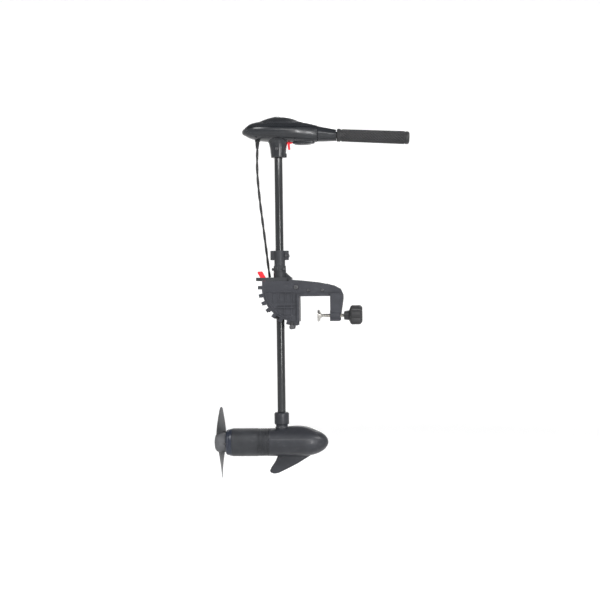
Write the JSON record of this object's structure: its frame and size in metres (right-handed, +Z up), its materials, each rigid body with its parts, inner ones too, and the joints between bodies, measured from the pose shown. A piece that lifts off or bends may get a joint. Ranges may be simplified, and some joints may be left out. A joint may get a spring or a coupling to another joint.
{
  "type": "trolling motor",
  "caption": "Transom-mount electric trolling motor: control head with telescoping twist grip, shaft, toothed tilt bracket with screw clamps, motor pod with propeller and skeg, and battery lead.",
  "frame": {"origin": "middle of the seat under the bracket that rests on the transom's top edge", "axes": "+X from the stern towards the bow along the tiller, +Y to port, +Z up along the shaft"},
  "size_m": [0.6761, 0.1503, 1.2278],
  "materials": {
    "bracket_plastic": "moulded black, fine texture",
    "swivel_plastic": "moulded black",
    "head_plastic": "satin charcoal",
    "grip_rubber": "soft black with a diamond pattern",
    "red_plastic": "glossy red",
    "knob_plastic": "matt black",
    "shaft_composite": "glossy black composite",
    "pod_paint": "satin charcoal paint",
    "steel": "stainless",
    "brass": "plain",
    "nylon": "natural nylon",
    "magnet": "ferrite",
    "iron_core": "laminated",
    "copper": "enamelled copper",
    "carbon": "carbon",
    "seal_rubber": "black",
    "prop_plastic": "glass-filled black",
    "lead_sheath": "black sheath",
    "strap": "woven black",
    "window": "smoked",
    "wire": "insulated"
  },
  "bodies": {
    "bracket": {"bracket_half_left": "bracket_plastic", "bracket_half_right": "bracket_plastic", "pivot_bolt": "steel", "pivot_nut": "steel", "bracket_bolts": "steel", "clamp_inserts": "brass"},
    "swivel": {"swivel_housing": "swivel_plastic", "steering_bushes": "nylon", "pivot_bushes": "nylon", "lock_springs": "steel", "lead_hook": "steel", "lead_strap": "strap", "lead_hank": "lead_sheath", "lead_tail": "lead_sheath", "lead_lugs": "brass", "lead_lower": "lead_sheath"},
    "lever": {"tilt_lever": "red_plastic"},
    "lock": {"lock_yoke": "steel", "lock_pin": "steel"},
    "tension": {"tension_ring": "swivel_plastic", "tension_screw": "steel"},
    "collar": {"depth_collar": "swivel_plastic"},
    "collar_knob": {"depth_screw": "knob_plastic"},
    "mast": {"shaft_tube": "shaft_composite", "motor_wires": "wire", "head_lower_shell": "head_plastic", "head_upper_shell": "head_plastic", "shell_screws": "steel", "head_bolt": "steel", "lead_gland": "seal_rubber", "meter_window": "window", "tiller_sleeve": "head_plastic", "speed_switch": "nylon", "nose_housing": "pod_paint", "motor_can": "pod_paint", "tail_cap": "pod_paint", "through_bolts": "steel", "shaft_seal": "seal_rubber", "bearings": "steel", "magnets": "magnet", "brush_plate": "nylon", "brushes": "carbon", "lead_upper": "lead_sheath"},
    "rotor": {"armature": "iron_core", "windings": "copper", "commutator": "copper", "motor_shaft": "steel", "shear_pin": "steel", "propeller": "prop_plastic", "prop_nut": "steel"},
    "speed_rod": {"speed_rotor": "nylon"},
    "tiller": {"tiller_tube": "shaft_composite", "grip": "grip_rubber"},
    "catch": {"trigger": "red_plastic"},
    "pad_left": {"clamp_pad_left": "steel"},
    "pad_right": {"clamp_pad_right": "steel"},
    "screw_left": {"clamp_screw_left": "steel", "clamp_knob_left": "knob_plastic"},
    "screw_right": {"clamp_screw_right": "steel", "clamp_knob_right": "knob_plastic"}
  },
  "joints": [
    {"name": "tilt", "type": "hinge", "parent": "bracket", "child": "swivel", "pos_m": [-0.027, 0, 0.031], "axis": [0, 1, 0], "range_deg": [0, 76.8]},
    {"name": "steer", "type": "hinge", "parent": "swivel", "child": "collar", "pos_m": [-0.084, 0, 0.1], "axis": [0, 0, 1], "range_deg": [-170, 170], "deforming": ["lead_lower"]},
    {"name": "depth", "type": "slide", "parent": "collar", "child": "mast", "axis": [0, 0, 1], "range_m": [-0.29, 0.24], "deforming": ["lead_upper"]},
    {"name": "propeller_spin", "type": "hinge", "parent": "mast", "child": "rotor", "pos_m": [-0.3, 0, -0.496], "axis": [1, 0, 0], "continuous": true},
    {"name": "speed_twist", "type": "hinge", "parent": "mast", "child": "speed_rod", "pos_m": [0.06575, 0, 0.54787], "axis": [0.9983, 0, -0.0576], "range_deg": [-60, 75]},
    {"name": "telescope", "type": "slide", "parent": "speed_rod", "child": "tiller", "axis": [0.9983, 0, -0.0576], "range_m": [0, 0.15]},
    {"name": "trigger_pull", "type": "hinge", "parent": "mast", "child": "catch", "pos_m": [-0.046, 0, 0.5245], "axis": [0, 1, 0], "range_deg": [-20, 0], "stiffness_Nm_per_rad": 0.05, "springref_deg": 11.46},
    {"name": "tilt_release", "type": "hinge", "parent": "swivel", "child": "lever", "pos_m": [-0.139, 0, 0.057], "axis": [0, 1, 0], "range_deg": [-20.4, 0]},
    {"name": "lock_slide", "type": "slide", "parent": "swivel", "child": "lock", "axis": [0.1184, 0, 0.993], "range_m": [0, 0.0076], "deforming": ["lock_springs"]},
    {"name": "tension_turn", "type": "hinge", "parent": "swivel", "child": "tension", "pos_m": [-0.084, 0, 0.094], "axis": [0, 0, 1], "range_deg": [-20, 40]},
    {"name": "depth_knob", "type": "hinge", "parent": "collar", "child": "collar_knob", "pos_m": [-0.062, 0, 0.139], "axis": [0, 1, 0], "range_deg": [-540, 360]},
    {"name": "clamp_slide_left", "type": "slide", "parent": "bracket", "child": "pad_left", "axis": [1, 0, 0], "range_m": [-0.0091, 0.0301]},
    {"name": "clamp_turn_left", "type": "hinge", "parent": "pad_left", "child": "screw_left", "pos_m": [0.1, -0.042, -0.066], "axis": [1, 0, 0], "range_deg": [-1620, 5400]},
    {"name": "clamp_slide_right", "type": "slide", "parent": "bracket", "child": "pad_right", "axis": [1, 0, 0], "range_m": [-0.0091, 0.0301]},
    {"name": "clamp_turn_right", "type": "hinge", "parent": "pad_right", "child": "screw_right", "pos_m": [0.1, 0.042, -0.066], "axis": [1, 0, 0], "range_deg": [-1620, 5400]}
  ],
  "couplings": [
    {"joint": "tilt_release", "follows": "lock_slide", "rad_per_m": -45.93},
    {"joint": "clamp_slide_left", "follows": "clamp_turn_left", "m_per_rad": 0.00031831},
    {"joint": "clamp_slide_right", "follows": "clamp_turn_right", "m_per_rad": 0.00031831}
  ]
}
